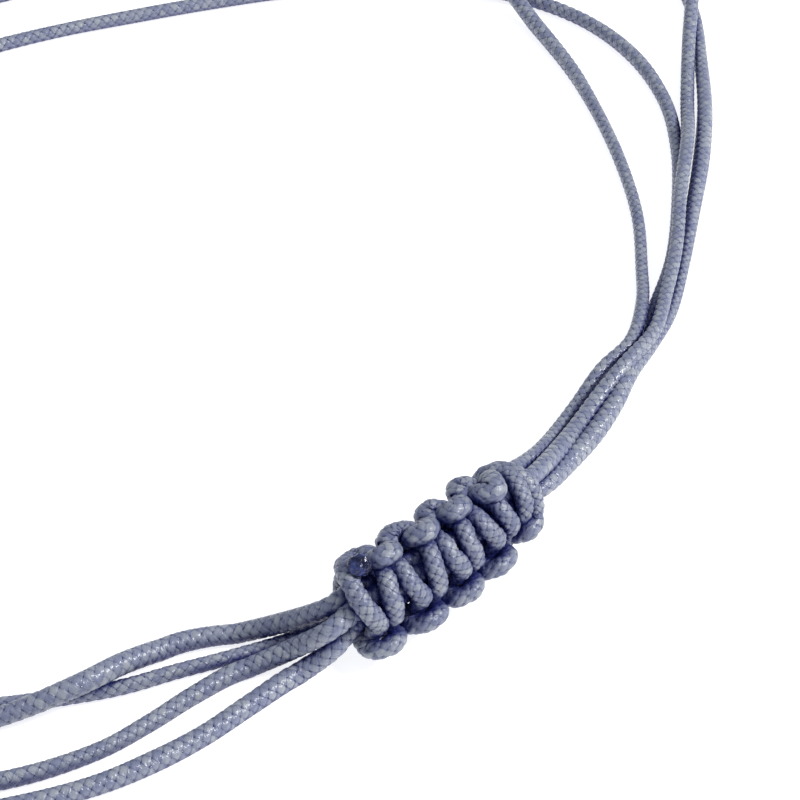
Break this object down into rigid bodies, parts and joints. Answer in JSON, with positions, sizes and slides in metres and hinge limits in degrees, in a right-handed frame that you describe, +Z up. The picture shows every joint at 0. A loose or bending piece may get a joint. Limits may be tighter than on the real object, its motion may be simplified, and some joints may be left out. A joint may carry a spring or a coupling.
{
  "type": "cord bracelet",
  "caption": "Adjustable bracelet of thin braided cord with a square-knot slider and free cord tails.",
  "frame": {"origin": "centre of the bounding box's bottom face, on the surface the bracelet lies on", "axes": "+Z up from the surface; the two pairs of tails leave the slider toward -X and +Y, and the wrist goes through along Z"},
  "size_m": [0.0778, 0.0858, 0.0063],
  "materials": {
    "bracelet_cord": "blue-grey braided nylon with a soft sheen",
    "working_cord": "blue-grey braided nylon with a soft sheen",
    "melted_end": "dark glossy melted nylon"
  },
  "bodies": {
    "root": {"cord_1": "bracelet_cord", "cord_2": "bracelet_cord", "slider_cord": "working_cord", "sealed_end": "melted_end"}
  },
  "joints": []
}
